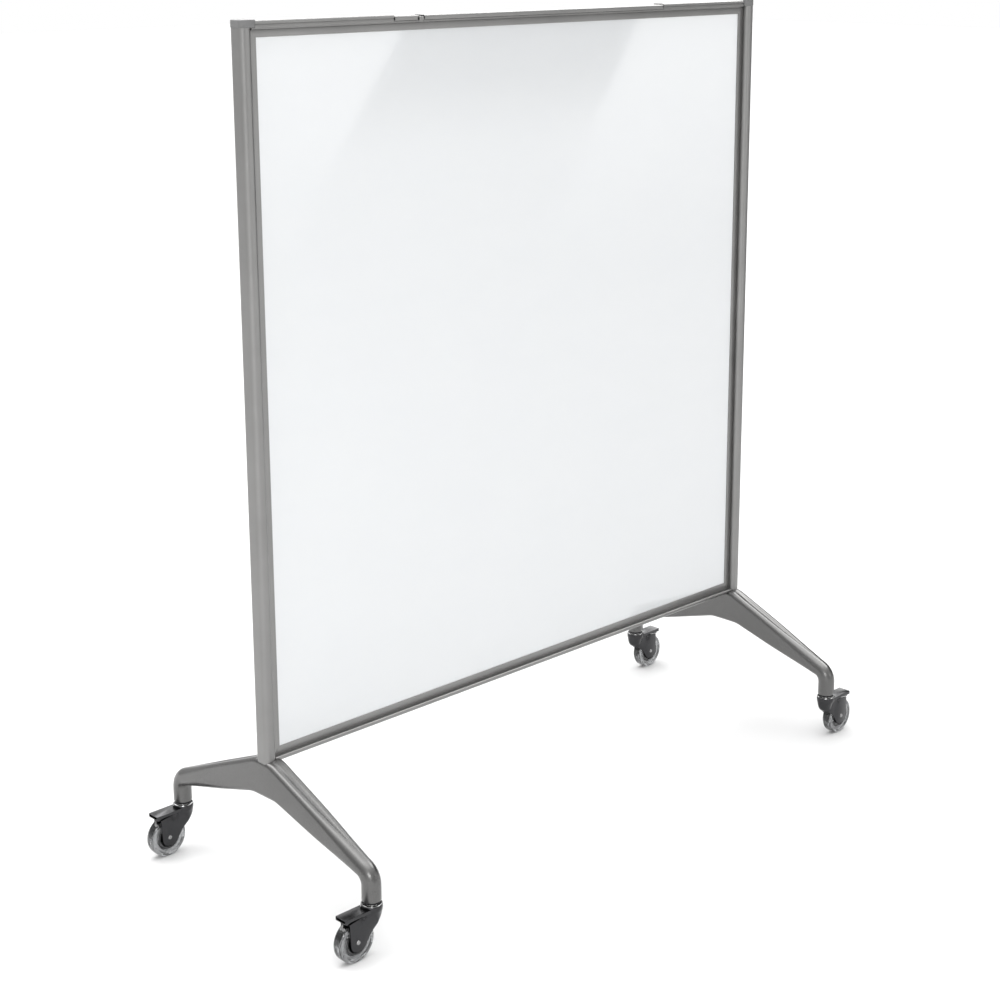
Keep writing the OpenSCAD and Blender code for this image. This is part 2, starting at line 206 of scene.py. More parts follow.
def writing_surface():
    """Glossy white dry-erase coating over a faintly wavy steel sheet."""
    mat, tree, shader = new_material("writing_white", Coat_Weight=0.5, Coat_Roughness=0.03)
    wipes = noise(tree, 5, (1, 1, 2.5), 5.0, 0.6)
    wave = noise(tree, 3.0, detail=1.0)
    tree.links.new(ramp(tree, wipes, [(0.3, (0.69, 0.705, 0.717)), (0.7, (0.70, 0.713, 0.723))]),
                   shader.inputs["Base Color"])
    tree.links.new(ramp(tree, wipes, [(0.35, 0.05), (0.75, 0.085)]), shader.inputs["Roughness"])
    bump(tree, shader, wave, 0.06, 0.002)
    return mat


def clear_tyre():
    mat, tree, shader = new_material("clear_tyre", Transmission_Weight=1.0, IOR=1.48,
                                     Base_Color=(0.29, 0.295, 0.30, 1))
    haze = noise(tree, 220, detail=3.0)
    tree.links.new(ramp(tree, haze, [(0.3, 0.01), (0.75, 0.05)]), shader.inputs["Roughness"])
    bump(tree, shader, haze, 0.05, 0.0002)
    return mat


def smoky_core():
    """See-through grey plastic of a wheel's centre."""
    mat, tree, shader = new_material("smoky_core", Transmission_Weight=0.9, IOR=1.5,
                                     Base_Color=(0.05, 0.051, 0.053, 1))
    haze = noise(tree, 260, detail=3.0)
    tree.links.new(ramp(tree, haze, [(0.3, 0.06), (0.75, 0.14)]), shader.inputs["Roughness"])
    bump(tree, shader, haze, 0.06, 0.0002)
    return mat


def fibreboard():
    mat, tree, shader = new_material("fibreboard", Roughness=0.85)
    fibre = noise(tree, 400, (1, 1, 0.3), 6.0, 0.7)
    tree.links.new(ramp(tree, fibre, [(0.3, (0.46, 0.34, 0.21)), (0.7, (0.62, 0.48, 0.32))]),
                   shader.inputs["Base Color"])
    bump(tree, shader, fibre, 0.3, 0.0003)
    return mat


M = {
    "silver_z": silver_z,
    "silver_x": silver_x,
    "cast": cast_paint(),
    "cap": moulded("cap_grey", (0.15, 0.15, 0.15), 0.42),
    "white": writing_surface(),
    "core": fibreboard(),
    "steel": plated("zinc_steel", (0.62, 0.62, 0.61), 0.22),
    "bolt": plated("black_steel", (0.06, 0.06, 0.06), 0.35),
    "gunmetal": plated("gunmetal", (0.052, 0.052, 0.054), 0.22, mottle=0.05),
    "dark_steel": plated("dark_steel", (0.30, 0.30, 0.30), 0.16),
    "pedal": satin_metal("pedal_dark", (0.06, 0.06, 0.062), 0.24, (0.01, 1, 1), 1.0),
    "black": moulded("black_plastic", (0.018, 0.018, 0.02), 0.28, coat=0.3),
    "rubber": moulded("black_rubber", (0.02, 0.02, 0.02), 0.7),
    "tyre": clear_tyre(),
    "hub": smoky_core(),
}

# ---- Mesh building ----


class Shape:
    """Collects vertices in millimetres and faces, each with a material index."""

    def __init__(self):
        self.verts = []
        self.faces = []
        self.slots = []

    def add(self, verts, faces, slot=0):
        base = len(self.verts)
        self.verts += [Vector(v) for v in verts]
        self.faces += [[i + base for i in face] for face in faces]
        self.slots += [slot] * len(faces)

    def join(self, other, move):
        """Adds another shape with its points passed through move."""
        base = len(self.verts)
        self.verts += [move(v) for v in other.verts]
        self.faces += [[i + base for i in face] for face in other.faces]
        self.slots += other.slots

    def rings(self, rings, closed=False, caps=True, slot=0):
        """A skin over rings of equally many points, capped or joined end to end."""
        count = len(rings[0])
        verts = [p for ring in rings for p in ring]
        faces = []
        steps = len(rings) if closed else len(rings) - 1
        for r in range(steps):
            a = r * count
            b = (r + 1) % len(rings) * count
            for i in range(count):
                j = (i + 1) % count
                faces.append([a + i, a + j, b + j, b + i])
        if caps and not closed:
            faces.append(list(range(count))[::-1])
            faces.append([(len(rings) - 1) * count + i for i in range(count)])
        self.add(verts, faces, slot)

    def prism(self, profile, place, low, high, slot=0):
        """Runs a 2D profile from low to high; both may depend on the profile's point."""
        ends = [low if callable(low) else (lambda x, y: low),
                high if callable(high) else (lambda x, y: high)]
        self.rings([[place(x, y, end(x, y)) for x, y in profile] for end in ends], slot=slot)

    def plate(self, outline, place, low, high, edge, steps=2, slot=0):
        """A plate between two heights with rounded rims."""
        rings = []
        for k in range(steps + 1):
            t = k / steps * math.pi / 2
            rings.append((edge * (1 - math.sin(t)), low + edge * (1 - math.cos(t))))
        rings += [(inset, high - (h - low)) for inset, h in reversed(rings)]
        self.rings([[place(x, y, h) for x, y in inset_outline(outline, inset)]
                    for inset, h in rings], slot=slot)

    def lathe(self, profile, place, steps=48, closed=True, slot=0):
        """Turns a profile of (radius, height) round the axis."""
        rings = []
        for k in range(steps):
            t = TAU * k / steps
            rings.append([place(r * math.cos(t), r * math.sin(t), h) for r, h in profile])
        count = len(profile)
        verts = [p for ring in rings for p in ring]
        faces = []
        for r in range(steps):
            a = r * count
            b = (r + 1) % steps * count
            for i in range(count if closed else count - 1):
                j = (i + 1) % count
                faces.append([a + i, b + i, b + j, a + j])
        self.add(verts, faces, slot)


def inset_outline(points, amount):
    """The outline with each point moved in along its own normal."""
    if amount == 0:
        return points
    out = []
    for i, p in enumerate(points):
        a = Vector(p) - Vector(points[i - 1])
        b = Vector(points[(i + 1) % len(points)]) - Vector(p)
        a.normalize()
        b.normalize()
        n = Vector((-(a.y + b.y), a.x + b.x))
        n /= max(n.length_squared / 2, 0.35)
        out.append((p[0] + n.x * amount, p[1] + n.y * amount))
    return out


def fillet(points, steps=4):
    """A polygon of (x, y, radius) corners, anticlockwise, with the corners rounded."""
    out = []
    for i, (x, y, r) in enumerate(points):
        p = Vector((x, y))
        if r <= 0:
            out.append((x, y))
            continue
        u = (Vector(points[i - 1][:2]) - p).normalized()
        v = (Vector(points[(i + 1) % len(points)][:2]) - p).normalized()
        half = u.angle(v) / 2
        centre = p + (u + v).normalized() * (r / math.sin(half))
        start = p + u * (r / math.tan(half)) - centre
        end = p + v * (r / math.tan(half)) - centre
        a0 = math.atan2(start.y, start.x)
        turn = (math.atan2(end.y, end.x) - a0 + math.pi) % TAU - math.pi
        for k in range(steps + 1):
            t = a0 + turn * k / steps
            out.append((centre.x + r * math.cos(t), centre.y + r * math.sin(t)))
    return out


def box_outline(x0, x1, y0, y1, r):
    return [(x0, y0, r), (x1, y0, r), (x1, y1, r), (x0, y1, r)]


def circle(radius, steps=48, x=0.0, y=0.0):
    return [(x + radius * math.cos(TAU * k / steps), y + radius * math.sin(TAU * k / steps))
            for k in range(steps)]


def make(name, shape, body, mats, nodes=(), angle=35):
    """Turns a shape into a piece that rides on a body and stands for the CAD nodes."""
    mesh = bpy.data.meshes.new(name)
    mesh.from_pydata([v * MM for v in shape.verts], [], shape.faces)
    for mat in mats:
        mesh.materials.append(mat)
    for polygon, index in zip(mesh.polygons, shape.slots):
        polygon.material_index = index
    work = bmesh.new()
    work.from_mesh(mesh)
    bmesh.ops.recalc_face_normals(work, faces=work.faces)
    work.to_mesh(mesh)
    work.free()
    mesh.shade_smooth()
    mesh.set_sharp_from_angle(angle=math.radians(angle))
    piece = bpy.data.objects.new(name, mesh)
    bpy.context.scene.collection.objects.link(piece)
    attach(piece, body)
    if nodes:
        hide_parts(*nodes)
    return piece


def cut(piece, cutters, angle=35):
    """Cuts closed shapes out of a piece and applies the result."""
    helpers = []
    for shape in cutters:
        mesh = bpy.data.meshes.new("cutter")
        mesh.from_pydata([v * MM for v in shape.verts], [], shape.faces)
        work = bmesh.new()
        work.from_mesh(mesh)
        bmesh.ops.recalc_face_normals(work, faces=work.faces)
        work.to_mesh(mesh)
        work.free()
        helper = bpy.data.objects.new("cutter", mesh)
        bpy.context.scene.collection.objects.link(helper)
        helpers.append(helper)
        modifier = piece.modifiers.new("cut", "BOOLEAN")
        modifier.operation = "DIFFERENCE"
        modifier.solver = "EXACT"
        modifier.object = helper
    graph = bpy.context.evaluated_depsgraph_get()
    mesh = bpy.data.meshes.new_from_object(piece.evaluated_get(graph))
    piece.modifiers.clear()
    piece.data = mesh
    mesh.shade_smooth()
    mesh.set_sharp_from_angle(angle=math.radians(angle))
    for helper in helpers:
        bpy.data.objects.remove(helper)


# ---- Posts ----


def post_place(side):
    """Profile (u, v), u towards the panel, at height z."""
    return lambda u, v, z: (side * (POST_X - u), v, z)


LIP_U0 = POST_IN + GROOVE_U
LIP_U1 = LIP_U0 + LIP_W
bulb = fillet(box_outline(-POST_D / 2, POST_IN, -POST_D / 2, POST_D / 2, POST_R), 10)


def channel(start, lip, neck, width, depth):
    """A lip pair with its web: runs along the first axis from start to start + lip."""
    r = 0.7
    w0 = start
    w1 = start + lip
    return fillet([
        (w0 - neck, -NECK_Y, 0), (w0, -NECK_Y, 0), (w0, -LIP_Y, r), (w1, -LIP_Y, r),
        (w1, -width, 0.4), (w1 - depth, -width, 0), (w1 - depth, width, 0), (w1, width, 0.4),
        (w1, LIP_Y, r), (w0, LIP_Y, r), (w0, NECK_Y, 0), (w0 - neck, NECK_Y, 0)], 3)


for side, label in ((-1, "left"), (1, "right")):
    post = Shape()
    place = post_place(side)
    post.prism(bulb, place, POST_Z0, CAP_Z0)
    mitre = 0.12

    def lip_low(u, v):
        return VIEW_Z0 - max(0, LIP_U1 - max(u, LIP_U0)) + mitre

    def lip_high(u, v):
        return VIEW_Z1 + max(0, LIP_U1 - max(u, LIP_U0)) - mitre

    post.prism(channel(LIP_U0, LIP_W, GROOVE_U + 1, SLOT_Y, SEAT), place, lip_low, lip_high)
    make(label + "_post_profile", post, "frame", [M["silver_z"]], [label + "_post"])

    cap = Shape()
    outline = fillet([(-18.8, -18.8, 10.8), (CAP_IN, -18.8, 6), (CAP_IN, 18.8, 6),
                      (-18.8, 18.8, 10.8)], 8)
    cap.plate(outline, place, CAP_Z0, TOP_Z, 1.4, 3)
    cap.prism([(x * 0.93, y * 0.93) for x, y in bulb], place, CAP_Z0 - 10, CAP_Z0 + 0.5)
    make(label + "_cap_moulding", cap, "frame", [M["cap"]], [label + "_cap"])

# ---- Rails ----


def rail_place(v, w, x):
    return (x, v, w)


def turned(profile):
    """A profile drawn as (away from the panel, depth), as (depth, height) going up."""
    return [(y, x) for x, y in profile]


LEAN = 0.9
STOP_DROP = 2.2
STOP_GAP = 0.5


def bead(z0, z1, r0, r1, line):
    """The rounded edge of a rail, with an optional fine line along each face."""
    half = RAIL_D / 2
    z = (z0 + z1) / 2
    points = [(-half, z0, r0), (half, z0, r0)]
    if line:
        points += [(half - LEAN, z - 0.9, 0), (half - 2.2, z - 0.5, 0), (half - 2.2, z + 0.5, 0),
                   (half, z + 0.9, 0)]
    points += [(half, z1, r1), (-half, z1, r1)]
    if line:
        points += [(-half, z + 0.9, 0), (2.2 - half, z + 0.5, 0), (2.2 - half, z - 0.5, 0),
                   (LEAN - half, z - 0.9, 0)]
    return fillet(points, 6)


pocket_x0 = lever_low[0] - 0.6
pocket_x1 = bar_high[0] + 0.6
bead_x = POST_X - CAP_IN

top = Shape()
lip_profile = turned(channel(VIEW_Z1 + LIP_W, -LIP_W, 0, SLOT_Y, -SEAT))


def top_end(sign):
    return lambda v, z: sign * (VIEW_X + min(max(z - VIEW_Z1, 0), LIP_W) - 0.12)


top.prism(lip_profile, rail_place, top_end(-1), top_end(1))
web = turned([(VIEW_Z1 + LIP_W - 1, -NECK_Y), (BEAD_Z0 + 1.2, -NECK_Y),
              (BEAD_Z0 + 1.2, NECK_Y), (VIEW_Z1 + LIP_W - 1, NECK_Y)])
top.prism(web, rail_place, -bead_x, bead_x)
bead_profile = bead(BEAD_Z0, RAIL_TOP, 1.2, 2.8, True)
top.prism(bead_profile, rail_place, -bead_x, pocket_x0)
top.prism(bead_profile, rail_place, pocket_x1, bead_x)
floor_plate = fillet(box_outline(-RAIL_D / 2, RAIL_D / 2, BEAD_Z0, BEAD_Z0 + 1.0, 0.4), 2)
top.prism(floor_plate, rail_place, pocket_x0, pocket_x1)
stop_block = fillet(box_outline(-RAIL_D / 2 + 0.3, RAIL_D / 2 - 0.3, BEAD_Z0 + 0.6,
                                bar_high[2] - STOP_DROP, 1.0), 3)
top.prism(stop_block, rail_place, lever_high[0] + STOP_GAP, bar_low[0] - STOP_GAP)
make("top_rail_profile", top, "frame", [M["silver_x"]], ["top_rail"])

bottom = Shape()
lip_profile = turned(channel(VIEW_Z0 - LIP_W, LIP_W, 0, SLOT_Y, SEAT))


def bottom_end(sign):
    return lambda v, z: sign * (VIEW_X + min(max(VIEW_Z0 - z, 0), LIP_W) - 0.12)


bottom.prism(lip_profile, rail_place, bottom_end(-1), bottom_end(1))
web = turned([(LEDGE_Z1 - 1, -NECK_Y), (VIEW_Z0 - LIP_W + 1, -NECK_Y),
              (VIEW_Z0 - LIP_W + 1, NECK_Y), (LEDGE_Z1 - 1, NECK_Y)])
ledge_x = POST_X - POST_IN
bottom.prism(web, rail_place, -ledge_x, ledge_x)
bottom.prism(bead(LEDGE_Z0, LEDGE_Z1, 4.4, 2.4, False), rail_place, -ledge_x, ledge_x)
make("bottom_rail_profile", bottom, "frame", [M["silver_x"]], ["bottom_rail"])

# ---- Feet ----


ELBOW_R = 28.0
LEG_TILT = math.radians(19.9)
elbow_y = STEM_Y - ELBOW_R
leg_y = elbow_y + ELBOW_R * math.sin(LEG_TILT)
leg_z0 = HUB_Z1 - 27.5
leg_z = leg_z0 - leg_y * math.tan(LEG_TILT)
elbow_z = leg_z - ELBOW_R * math.cos(LEG_TILT)
HUB_W = foot_high[0] - foot_low[0]
EYE = 1e-3
VALLEY = 2.6
LEG_HALF_H = 36.4


def leg_stations():
    """Top point, bottom point, half width and corner radius of each section, hub to tube."""
    end_top = (leg_y + TUBE_R * math.sin(LEG_TILT), leg_z + TUBE_R * math.cos(LEG_TILT))
    end_low = (leg_y - TUBE_R * math.sin(LEG_TILT), leg_z - TUBE_R * math.cos(LEG_TILT))
    top_z0 = leg_z0 + LEG_HALF_H
    low_z0 = leg_z0 - LEG_HALF_H
    out = []
    steps = 30
    for k in range(steps + 1):
        f = k / steps
        yt = end_top[0] * f
        yb = end_low[0] * f
        zt = top_z0 + (end_top[1] - top_z0) * f
        zb = low_z0 + (end_low[1] - low_z0) * f
        zt = soft_min(zt, HUB_Z1, 2.0)
        zb = soft_min(zb, HUB_Z0, 1.5)
        s = min(max((f - 0.45) / 0.55, 0), 1)
        s = s * s * (3 - 2 * s)
        rise = min(max((f - 0.08) / 0.14, 0), 1)
        out.append(((yt, zt), (yb, zb), HUB_W / 2 + (TUBE_R - HUB_W / 2) * f, 11 + 7 * s,
                    VALLEY * rise * (1 - s)))
    for k in range(1, 13):
        t = LEG_TILT + (math.pi / 2 - LEG_TILT) * k / 12
        c = math.cos(t)
        s = math.sin(t)
        out.append(((elbow_y + (ELBOW_R + TUBE_R) * s, elbow_z + (ELBOW_R + TUBE_R) * c),
                    (elbow_y + (ELBOW_R - TUBE_R) * s, elbow_z + (ELBOW_R - TUBE_R) * c),
                    TUBE_R, TUBE_R, 0))
    for z, inset in ((TUBE_Z + 8, 0), (TUBE_Z + 0.8, 0), (TUBE_Z + 0.2, 0.25), (TUBE_Z, 0.9)):
        out.append(((STEM_Y + TUBE_R - inset, z), (STEM_Y - TUBE_R + inset, z),
                    TUBE_R - inset, TUBE_R - inset, 0))
    return out


def soft_min(a, b, soft):
    """The lower of two values with a rounded corner between them."""
    return (a + b - math.sqrt((a - b) ** 2 + soft * soft)) / 2


def valley_section(half_w, half_h, r, valley):
    """A rounded section whose flat top dips between two soft ridges."""
    low = [(-half_w, -half_h, r), (half_w, -half_h, r), (half_w, half_h, r)]
    points = fillet(low + [(-half_w, half_h, r)], 8)
    flat = half_w - r
    right = max(k for k, (x, h) in enumerate(points) if h > 0 and x > 0)
    dips = 9
    ring = list(points[:right + 1])
    for k in range(1, dips):
        x = flat - 2 * flat * k / dips
        ring.append((x, half_h - valley * math.sin(math.pi * k / dips) ** 1.5))
    return ring + list(points[right + 1:])


def section_ring(side, sign, station):
    (yt, zt), (yb, zb), half_w, r, valley = station
    half_h = math.hypot(yt - yb, zt - zb) / 2
    ny = (yt - yb) / 2 / half_h
    nz = (zt - zb) / 2 / half_h
    r = min(r, half_w - EYE, half_h - EYE)
    ring = []
    for x, h in valley_section(half_w, half_h, r, valley):
        y = (yt + yb) / 2 + ny * h
        z = (zt + zb) / 2 + nz * h
        ring.append((side * POST_X + x, sign * y, z))
    return ring


stations = leg_stations()
for side, label in ((-1, "left"), (1, "right")):
    foot = Shape()
    front = [section_ring(side, -1, s) for s in reversed(stations)]
    rear = [section_ring(side, 1, s) for s in stations[1:]]
    foot.rings(front + rear)
    piece = make(label + "_foot_casting", foot, "frame", [M["cast"]],
                 [label + "_foot"], 40)
    place = post_place(side)
    socket = Shape()
    socket.prism(inset_outline(bulb, -0.45), place, POST_Z0 - 0.5, HUB_Z1 + 20)
    notch = Shape()
    notch.prism([(u, v) for u, v in ((POST_IN - 0.6, -RAIL_D / 2 - 0.5), (40, -RAIL_D / 2 - 0.5),
                                     (40, RAIL_D / 2 + 0.5), (POST_IN - 0.6, RAIL_D / 2 + 0.5))],
                place, LEDGE_Z0 - 0.4, HUB_Z1 + 21)
    bore = Shape()
    bore.prism(circle(9, 40, -6, 0), place, HUB_Z0 - 10, HUB_Z0 + 12)
    cut(piece, [socket, notch, bore], 40)

# ---- Casters, drawn round the swivel axis with the wheel towards +x ----

wheel_low, wheel_high = node_box("front_right_tyre")
WHEEL_R = (wheel_high[2] - wheel_low[2]) / 2
WHEEL_H = (wheel_high[1] - wheel_low[1]) / 2
TRAIL = (wheel_low[0] + wheel_high[0]) / 2 - POST_X
fork_low, fork_high = node_box("front_right_fork")
HEAD_Z1 = fork_high[2]
HEAD_H = 11
HEAD_Z0 = HEAD_Z1 - HEAD_H
HEAD_R = POST_X - fork_low[0]
FORK_H = 13.5
FORK_T = 2.5
pedal_low, pedal_high = node_box("front_right_brake_pedal")
PEDAL_Z1 = pedal_high[2]
PEDAL_T = 6
PEDAL_Z0 = PEDAL_Z1 - PEDAL_T
PEDAL_H = (pedal_high[1] - pedal_low[1]) / 2
PEDAL_X1 = pedal_high[0] - POST_X
END_LIP_L = 9.5
END_LIP_DROP = 1.2
PIN_X = 30.0
PIN_Z = 81.3
RING_R = 15.0
APRON_Z0 = 60.5
APRON_MID = 78.0
APRON_Z1 = 90.0
FLARE_H = 20.0
FLARE_W = 5.8


def upright(x, y, z):
    return (x, y, z)


def axle_place(x, y, h):
    """Turned round the wheel's axle."""
    return (TRAIL + x, h, WHEEL_R + y)


def side_place(x, z, y):
    return (x, y, z)


def corner_move(sx, sy):
    return lambda v: Vector((sx * (POST_X + v.x), sy * STEM_Y + v.y, v.z))


def seal_shape():
    s = Shape()
    z0 = HEAD_Z1 + 0.4
    z1 = TUBE_Z
    r = RING_R
    s.lathe([(5.2, z0), (r - 1.2, z0), (r, z0 + 0.6), (r, z0 + 2.0), (r - 0.7, z0 + 2.4),
             (r - 1.5, z0 + 2.7), (r - 1.5, z0 + 3.3), (r - 0.7, z0 + 3.6), (r, z0 + 4.0),
             (r, z1), (5.2, z1)], upright)
    return s


def apron_ring(nose, tail, half, z, turns):
    """Round end of the fork at one height, running back to the flat cheeks."""
    wrap = math.acos(min(1, (FORK_H - FORK_T / 2) / half))
    ring = []
    for k in range(turns + 1):
        t = (math.pi / 2 + wrap) * (2 * k / turns - 1)
        c = math.cos(t)
        reach = tail - nose if c > 0 else half
        ring.append((tail - reach * c, half * math.sin(t), z))
    return ring


def fork_shape():
    s = Shape()
    head = [(5.1, HEAD_Z0), (HEAD_R - 2.2, HEAD_Z0), (HEAD_R - 0.6, HEAD_Z0 + 0.6),
            (HEAD_R, HEAD_Z0 + 2.2), (HEAD_R, HEAD_Z1 - 3.0), (HEAD_R - 0.5, HEAD_Z1 - 1.2),
            (HEAD_R - 1.5, HEAD_Z1 - 0.3), (HEAD_R - 2.6, HEAD_Z1), (HEAD_R - 3.4, HEAD_Z1 - 0.4),
            (HEAD_R - 4.2, HEAD_Z1 - 2.0), (14, HEAD_Z1 - 2.2), (14, HEAD_Z1 - 3.8),
            (5.1, HEAD_Z1 - 3.8)]
    s.lathe(head, upright, 56)
    outline = fillet([(-4, 90.5, 0), (-4, 62.5, 5), (13, 48.5, 12), (31, 22.8, 14),
                      (59.2, 22.8, 15.2), (61, 60, 20), (61, 81.0, 1.5), (30, 85.5, 0.5),
                      (14, 85.6, 0), (14, 90.5, 0)], 6)
    for y in (-FORK_H, FORK_H - FORK_T):
        s.plate(outline, side_place, y, y + FORK_T, 0.6, 2)
    outer = []
    inner = []
    steps = 20
    turns = 28
    for k in range(steps + 1):
        z = APRON_Z1 - (APRON_Z1 - APRON_Z0) * k / steps
        drop = max(0, (APRON_MID - z) / (APRON_MID - APRON_Z0))
        nose = 0.6 - HEAD_R * math.sqrt(1 - drop * drop)
        half = FORK_H + FLARE_W * max(0, 1 - max(0, HEAD_Z0 - z) / FLARE_H) ** 1.6
        tail = max(-1, nose + 3.2)
        outer.append(apron_ring(nose, tail, half, z, turns))
        inner.append(apron_ring(nose + FORK_T, tail, half - FORK_T, z, turns))
    rings = [a + b[::-1] for a, b in zip(outer, inner)]
    s.rings(rings)
    return s


def rim_shape():
    """Bright rolled edge of the swivel head."""
    s = Shape()
    s.lathe([(HEAD_R - 2.9, HEAD_Z1 - 0.5), (HEAD_R - 2.5, HEAD_Z1 + 0.1),
             (HEAD_R - 1.7, HEAD_Z1 + 0.3), (HEAD_R - 0.8, HEAD_Z1 - 0.1),
             (HEAD_R - 0.4, HEAD_Z1 - 1.0)], upright, 56)
    return s


def axle_shape():
    s = Shape()
    half = FORK_H
    dome = [(0.01, half + 2.0), (1.9, half + 1.8), (3.4, half + 1.2), (4.3, half + 0.3),
            (4.4, half - 0.05), (4.0, half - 0.05)]
    profile = dome + [(r, -h) for r, h in reversed(dome)]
    s.lathe(profile, axle_place, 32, closed=False)
    return s


def tyre_shape():
    s = Shape()
    r = 4.0
    profile = [(24.2, -WHEEL_H + 0.5), (25.0, -WHEEL_H), (26.4, -WHEEL_H), (27.2, -WHEEL_H + 1.1),
               (32.0, -WHEEL_H + 1.1), (32.9, -WHEEL_H + 0.3), (33.6, -WHEEL_H)]
    for k in range(7):
        t = math.pi / 2 * k / 6
        profile.append((WHEEL_R - r + r * math.sin(t), -WHEEL_H + r - r * math.cos(t)))
    profile += [(a, -h) for a, h in reversed(profile)]
    profile += [(24.2, 5.2), (26.8, 5.0), (26.8, -5.0), (24.2, -5.2)]
    s.lathe(profile, axle_place, 96)
    return s


def hub_shape():
    s = Shape()
    h = WHEEL_H
    rim = [(20.2, -h + 0.4), (20.8, -h), (23.6, -h), (24.0, -h + 0.4), (24.0, -5.0), (26.6, -4.9),
           (26.6, 4.9), (24.0, 5.0), (24.0, h - 0.4), (23.6, h), (20.8, h), (20.2, h - 0.4)]
    s.lathe(rim, axle_place, 64)
    boss = [(9.7, -h), (12.4, -h), (13.0, -h + 0.6), (13.0, h - 0.6), (12.4, h), (9.7, h)]
    s.lathe(boss, axle_place, 48)
    s.lathe([(12.8, -1.6), (20.4, -1.6), (20.4, 1.6), (12.8, 1.6)], axle_place, 64)
    for k in range(8):
        t = TAU * k / 8
        rib = []
        for f in range(7):
            r = 12.6 + 8.0 * f / 6
            a = t + 0.5 * f / 6
            rib.append([axle_place(r * math.cos(a) - w * math.sin(a),
                                   r * math.sin(a) + w * math.cos(a), y)
                        for w, y in ((-0.8, -h + 1.2), (0.8, -h + 1.2), (0.8, h - 1.2),
                                     (-0.8, h - 1.2))])
        s.rings(rib)
    return s


def bearing_shape():
    s = Shape()
    for sign in (-1, 1):
        y0 = sign * (WHEEL_H - 4.4)
        y1 = sign * (WHEEL_H - 0.2)
        s.lathe([(4.06, y0), (9.5, y0), (9.5, y1 - sign * 0.4), (9.1, y1), (7.6, y1),
                 (7.4, y1 - sign * 0.5), (6.0, y1 - sign * 0.5), (5.8, y1), (4.06, y1)],
                axle_place, 40)
    return s


def pedal_shape():
    s = Shape()
    r = HEAD_R + 0.6
    a0 = math.asin(PEDAL_H / r)
    outline = [(r * math.cos(a0 - 2 * a0 * k / 14), r * math.sin(a0 - 2 * a0 * k / 14))
               for k in range(15)]
    outline += fillet([(r * math.cos(a0), -PEDAL_H - 1, 0), (PEDAL_X1, -PEDAL_H, 1.6),
                       (PEDAL_X1, PEDAL_H, 1.6), (r * math.cos(a0), PEDAL_H + 1, 0)], 6)[1:-1]
    s.plate(outline, upright, PEDAL_Z0, PEDAL_Z1, 0.5, 2)
    end_lip = fillet(box_outline(PEDAL_X1 - END_LIP_L, PEDAL_X1, -PEDAL_H, PEDAL_H, 1.6), 6)
    s.plate(end_lip, upright, PEDAL_Z0 - END_LIP_DROP, PEDAL_Z1 - 0.6, 0.4, 2)
    for k in range(4):
        x = PEDAL_X1 - 8 - 5 * k
        grip = fillet(box_outline(x - 1.2, x + 1.2, -PEDAL_H + 4, PEDAL_H - 4, 1.0), 3)
        s.plate(grip, upright, PEDAL_Z1 - 0.8, PEDAL_Z1 - 0.02, 0.3, 1)
    inner = FORK_H - FORK_T - 0.4
    shoe = fillet([(25, PEDAL_Z0 + 1, 0), (25, 81.5, 1), (27.2, 79.4, 1), (33, 80.0, 1),
                   (45, 83.2, 3), (60, 81.0, 3), (66, 79.6, 1), (67.5, 81, 1),
                   (67, PEDAL_Z0 + 1, 0)], 3)
    s.plate(shoe, side_place, -inner, inner, 0.5, 1)
    return s


def pin_shape():
    s = Shape()
    half = FORK_H
    profile = [(0.01, half + 0.3), (1.4, half + 0.25), (2.0, half - 0.1)]
    profile += [(r, -h) for r, h in reversed(profile)]
    s.lathe(profile, lambda x, y, h: (PIN_X + x, h, PIN_Z + y), 20, closed=False)
    return s


parts = [
    ("fork", fork_shape(), "caster", M["gunmetal"], "gunmetal", 40),
    ("axle", axle_shape(), "caster", M["dark_steel"], "steel", 35),
    ("pedal_pin", pin_shape(), "caster", M["gunmetal"], "steel", 35),
    ("tyre", tyre_shape(), "wheel", M["tyre"], "clear_tyre", 35),
    ("wheel_hub", hub_shape(), "wheel", M["hub"], "hub_grey", 35),
    ("wheel_bearings", bearing_shape(), "wheel", M["steel"], "steel", 35),
    ("brake_pedal", pedal_shape(), "brake", M["pedal"], "gunmetal", 35),
]
seals = Shape()
for corner, sx, sy in CORNERS:
    move = corner_move(sx, sy)
    seals.join(seal_shape(), move)
    rim = Shape()
    rim.join(rim_shape(), move)
    make(f"{corner}_head_rim", rim, f"{corner}_caster", [M["dark_steel"]])
    for part, shape, body, mat, slot, angle in parts:
        placed = Shape()
        placed.join(shape, move)
        make(f"{corner}_{part}_detail", placed, f"{corner}_{body}", [mat],
             [f"{corner}_{part}"], angle)
make("swivel_seal_rings", seals, "frame", [M["black"]], ["swivel_seals"])

# ---- Pad clamp ----

clamp_z0 = bar_low[2]
clamp_z1 = bar_high[2]
clamp_profile = fillet([
    (-RAIL_D / 2, clamp_z0 + 0.1, 0.5), (-RAIL_D / 2 + 5.5, clamp_z0 + 0.1, 0.5),
    (-RAIL_D / 2 + 5.5, clamp_z1 - 4, 1.0), (3.2, clamp_z1 - 4, 1.0), (4.6, clamp_z0 + 0.8, 1.2),
    (10.6, clamp_z0 + 1.0, 1.6), (12.4, clamp_z1 - 5.6, 1.0), (RAIL_D / 2, clamp_z1 - 5.2, 1.0),
    (RAIL_D / 2, clamp_z1, 2.6), (-RAIL_D / 2, clamp_z1, 2.6)], 5)
clamp_end = fillet([(-RAIL_D / 2, clamp_z0 + 0.1, 1.0), (10.2, clamp_z0 + 1.2, 2.0),
                    (RAIL_D / 2, clamp_z1 - 5.2, 1.5), (RAIL_D / 2, clamp_z1, 2.6),
                    (-RAIL_D / 2, clamp_z1, 2.6)], 5)
LEVER_SLOPE = 0.37


